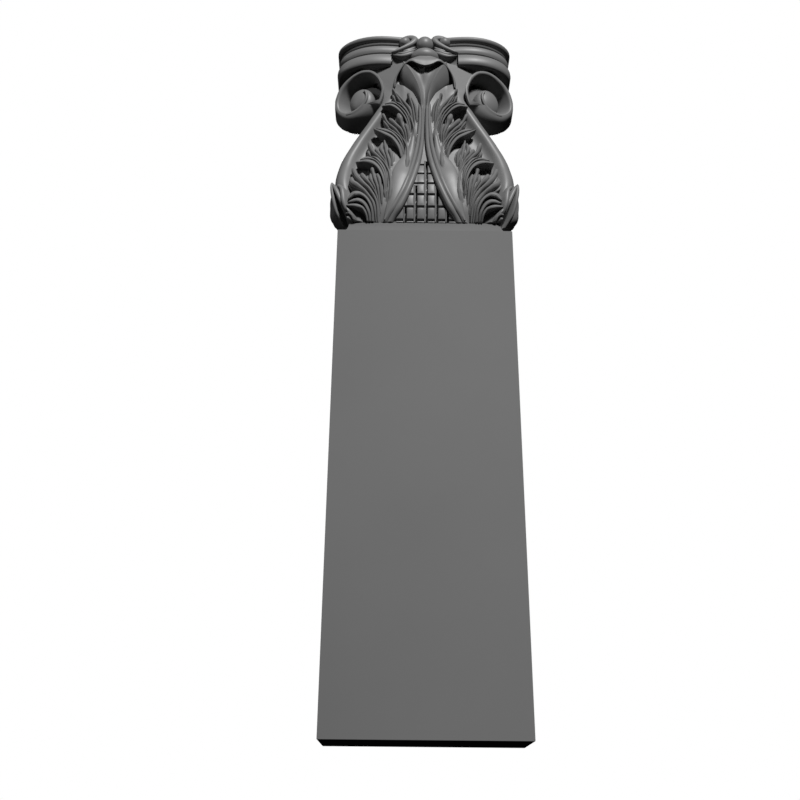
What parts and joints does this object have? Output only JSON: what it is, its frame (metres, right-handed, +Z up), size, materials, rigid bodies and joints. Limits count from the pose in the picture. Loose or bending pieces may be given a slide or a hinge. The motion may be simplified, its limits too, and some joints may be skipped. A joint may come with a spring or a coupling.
{
  "type": "carved pilaster with a composite capital",
  "caption": "Flat plain shaft under a carved capital with acanthus leaves, corner volutes, a lattice panel and a bowed moulded abacus; flat back for a wall.",
  "frame": {"origin": "middle of the shaft's flat underside", "axes": "+Z up the shaft, -Y out of the carved front, +Y towards the wall, +X to the right of someone facing the front"},
  "size_m": [0.1678, 0.0834, 0.6263],
  "materials": {
    "shaft_paint": "neutral grey primer paint on smooth planed wood, satin",
    "capital_paint": "neutral grey primer paint on carved wood, satin"
  },
  "bodies": {
    "root": {"shaft": "shaft_paint", "capital": "capital_paint"}
  },
  "joints": []
}
